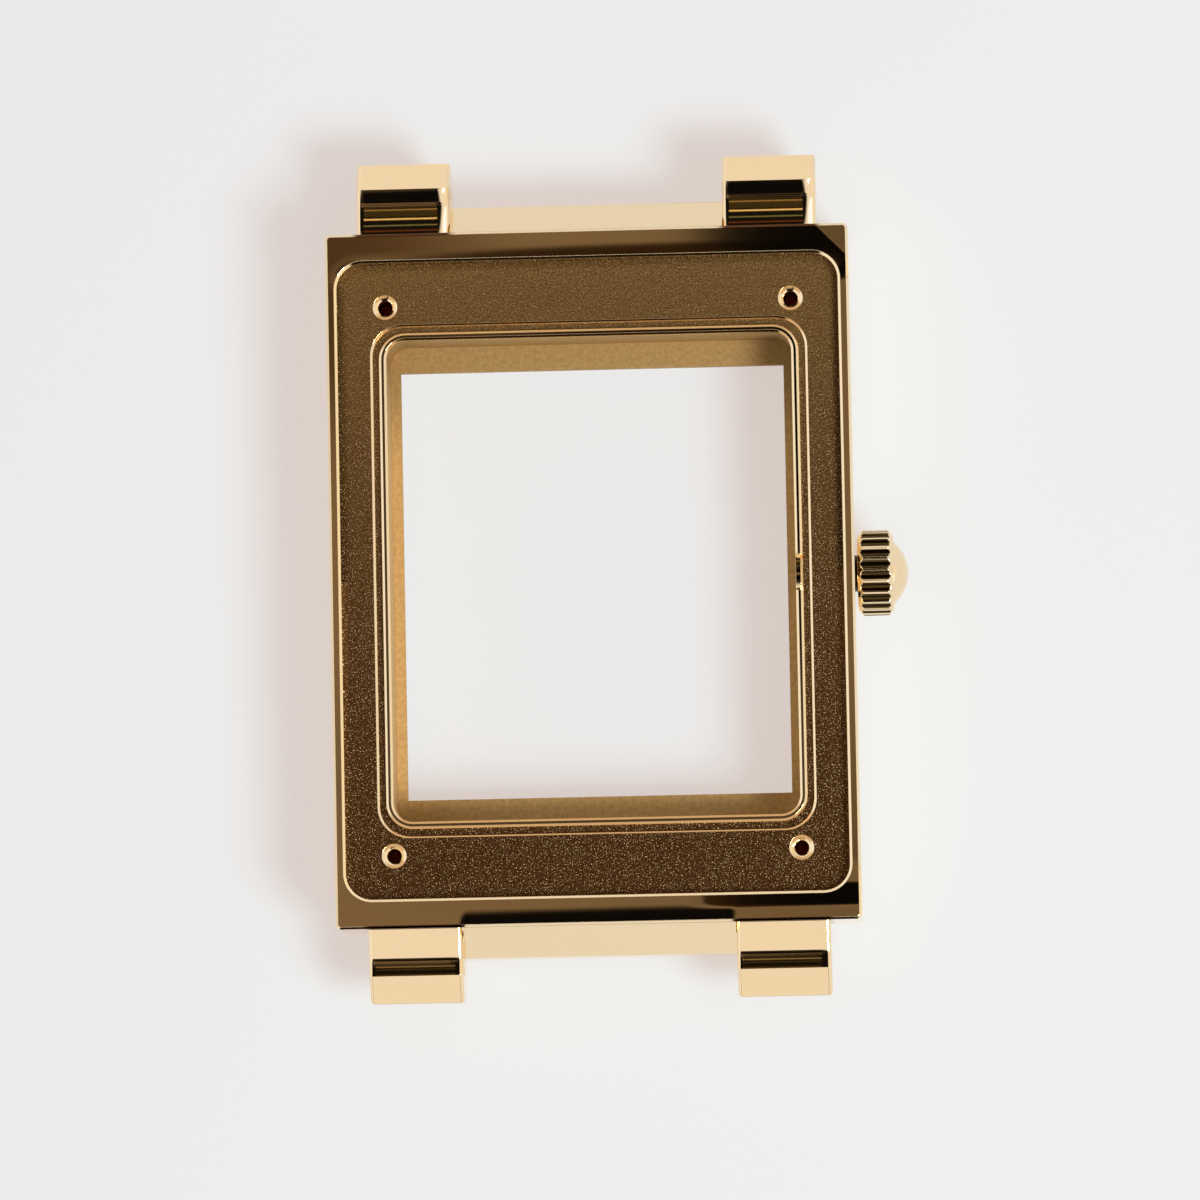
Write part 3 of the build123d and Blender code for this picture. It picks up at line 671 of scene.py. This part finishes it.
def sapphire():
    material, tree = newMaterial("clearSapphire")
    clear = addNode(tree, "BsdfTransparent")
    gloss = addNode(tree, "BsdfGlossy", {"Roughness": glassSet["roughness"]})
    # Only the side that faces the eye reflects, because the light isn't bent inside the plate
    fresnel = addNode(tree, "Fresnel", {"IOR": glassSet["index"]})
    facing = addNode(tree, "Math", (1.0, addNode(tree, "NewGeometry").outputs["Backfacing"]),
                     operation="SUBTRACT")
    share = addNode(tree, "Math", (fresnel, facing), operation="MULTIPLY")
    finish(tree, addNode(tree, "MixShader", (share, clear, gloss)))
    return material


# Turned stainless steel, grey and clean, with the lathe's fine rings about 0.05 mm apart
steelSet = {"hex": "#8E8C88", "roughness": 0.22, "ringScale": 6.0, "ringWobble": 0.3,
            "ringDetail": 1.0, "ringStrength": 0.3, "ringDepthMm": 0.004}


def steel():
    material, tree = newMaterial("turnedStainlessSteel")
    rings = addNode(tree, "TexWave",
                    {"Vector": inMillimetres(tree), "Scale": steelSet["ringScale"],
                     "Distortion": steelSet["ringWobble"], "Detail": steelSet["ringDetail"]},
                    bands_direction="X")
    turned = addNode(tree, "Bump", {"Height": rings.outputs["Fac"],
                                    "Strength": steelSet["ringStrength"],
                                    "Distance": steelSet["ringDepthMm"] * mm})
    finish(tree, addNode(tree, "BsdfPrincipled",
                         {"Base Color": toLinear(steelSet["hex"]), "Metallic": 1.0,
                          "Roughness": steelSet["roughness"], "Normal": turned}))
    return material


# Steel sleeve, painted black for the shade in the gap beside the crown, where it shows as a black
# bar
sleeveSet = {"hex": "#151312", "roughness": 0.35, "shine": 0.3}


def darkSteel():
    material, tree = newMaterial("steelPaintedShadowBlack")
    finish(tree, addNode(tree, "BsdfPrincipled",
                         {"Base Color": toLinear(sleeveSet["hex"]),
                          "Roughness": sleeveSet["roughness"],
                          "Specular IOR Level": sleeveSet["shine"]}))
    return material


# Moulded white nylon gaskets, slightly waxy
nylonSet = {"hex": "#ECEAE3", "roughness": 0.45, "glowShare": 0.15, "glowMm": 0.3}


def nylon():
    material, tree = newMaterial("mouldedWhiteNylon")
    finish(tree, addNode(tree, "BsdfPrincipled",
                         {"Base Color": toLinear(nylonSet["hex"]),
                          "Roughness": nylonSet["roughness"],
                          "Subsurface Weight": nylonSet["glowShare"],
                          "Subsurface Scale": nylonSet["glowMm"] * mm}))
    return material


# Moulded black rubber seal with a faint grey bloom, in patches of about 0.25 mm
rubberSet = {"darkHex": "#141414", "paleHex": "#242322", "roughness": 0.6, "bloomMm": 0.25,
             "bloomDetail": 3.0}


def rubber():
    material, tree = newMaterial("mouldedBlackRubber")
    bloom = addNode(tree, "TexNoise",
                    {"Vector": inMillimetres(tree), "Scale": 1 / rubberSet["bloomMm"],
                     "Detail": rubberSet["bloomDetail"]})
    tone = addNode(tree, "Mix", {"Factor": bloom.outputs[0], "A": toLinear(rubberSet["darkHex"]),
                                 "B": toLinear(rubberSet["paleHex"])},
                   data_type="RGBA").outputs["Result"]
    finish(tree, addNode(tree, "BsdfPrincipled",
                         {"Base Color": tone, "Roughness": rubberSet["roughness"]}))
    return material


pieceMaterials = [
    (polishedGold(), ("strap_hood_six", "strap_hood_twelve", "bezel", "crown_cap")),
    (caseGold(), ("case_middle",)),
    (lugGold(), ("lug_six_crown_side", "lug_six_far_side", "lug_twelve_crown_side",
                 "lug_twelve_far_side")),
    (flutedGold(), ("crown_shell",)),
    (sapphire(), ("crystal",)),
    (steel(), ("crown_post", "crown_washer")),
    (darkSteel(), ("crown_tube",)),
    (nylon(), ("crystal_gasket", "bezel_gasket")),
    (rubber(), ("crown_seal",)),
]
for material, names in pieceMaterials:
    for name in names:
        nodes[name].data.materials.clear()
        nodes[name].data.materials.append(material)
print("materials made")

bpy.context.scene.view_settings.view_transform = "Standard"
